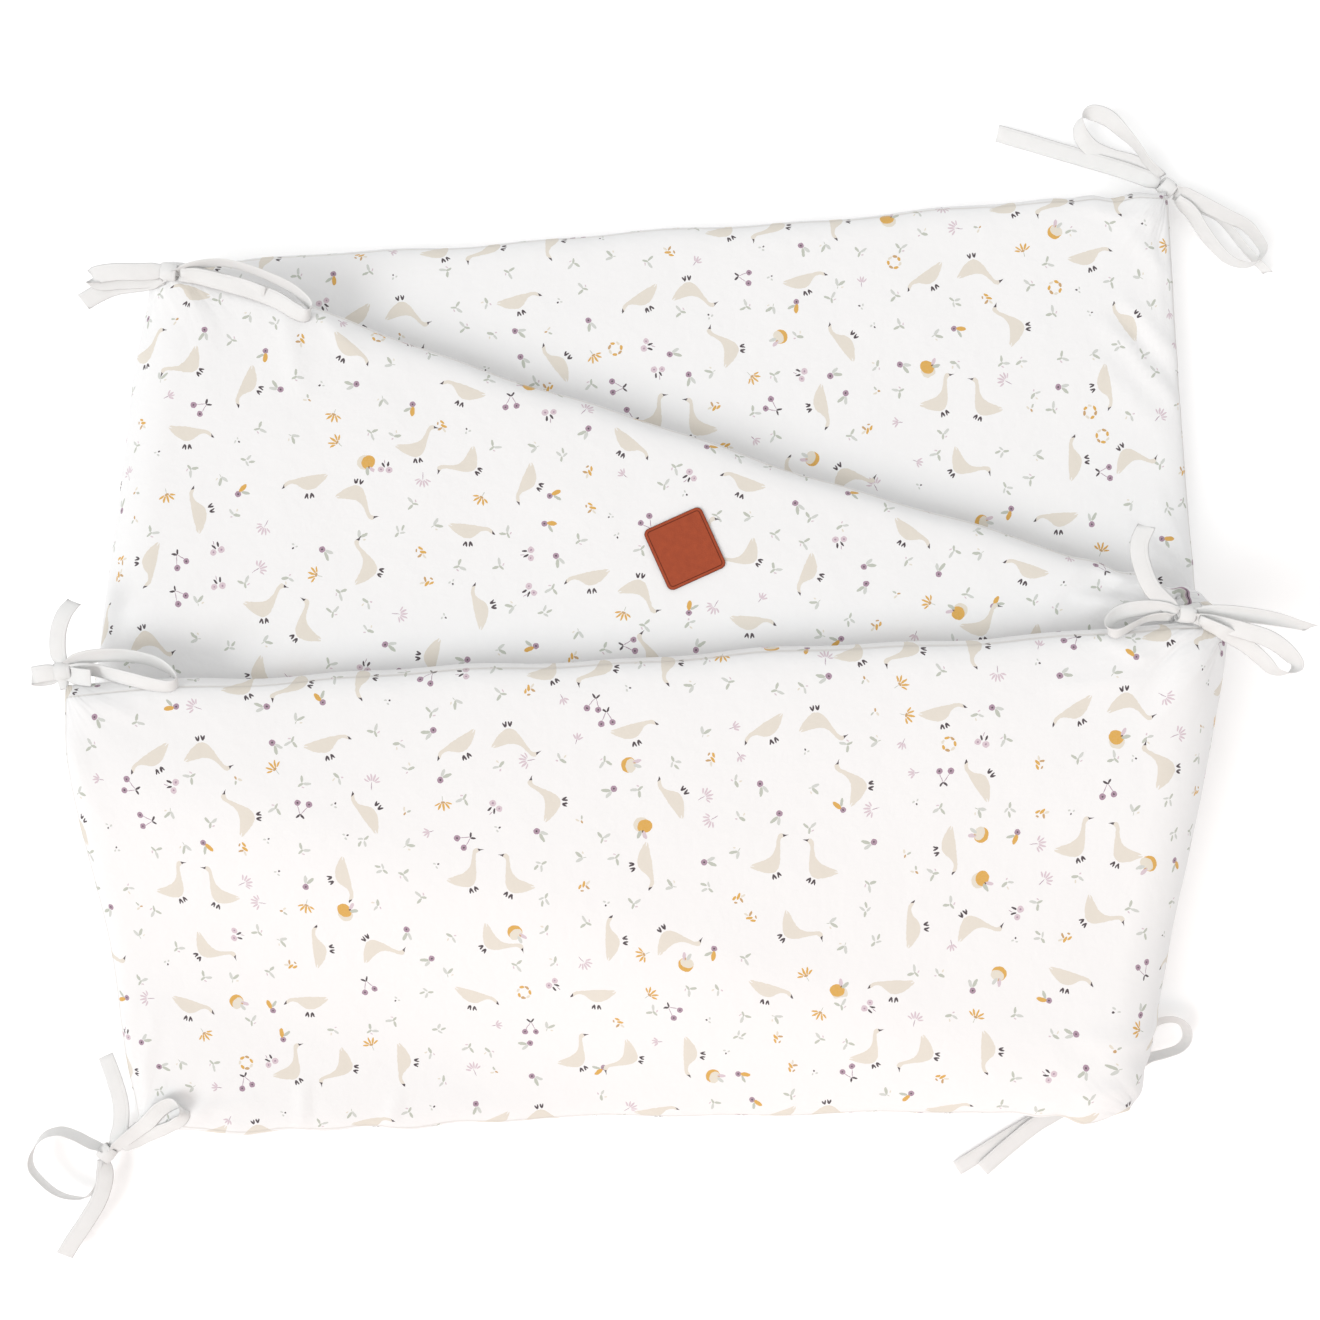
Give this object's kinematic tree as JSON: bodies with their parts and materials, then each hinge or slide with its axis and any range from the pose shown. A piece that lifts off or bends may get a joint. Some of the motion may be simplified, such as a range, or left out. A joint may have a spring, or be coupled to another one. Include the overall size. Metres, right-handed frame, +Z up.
{
  "type": "crib bumper",
  "caption": "Long padded crib bumper in printed cotton, folded in a Z and lying flat, with tape ties tied in bows and a leather patch.",
  "frame": {"origin": "centre of the bounding box's base, on the surface the bumper lies on", "axes": "+X along the folded bumper towards its right fold, +Y towards the back edge as the layers lie, +Z up"},
  "size_m": [0.8327, 0.7773, 0.1185],
  "materials": {
    "printed_cotton": "matt woven cotton, printed",
    "cotton_tape": "matt woven tape",
    "leather": "matt leather with a fine grain"
  },
  "bodies": {
    "root": {"bumper_pad": "printed_cotton", "tie_top_end_back": "cotton_tape", "tie_top_end_front": "cotton_tape", "tie_right_fold_back": "cotton_tape", "tie_right_fold_front": "cotton_tape", "tie_left_fold_back": "cotton_tape", "tie_left_fold_front": "cotton_tape", "tie_bottom_end_back": "cotton_tape", "tie_bottom_end_front": "cotton_tape", "patch": "leather"}
  },
  "joints": []
}
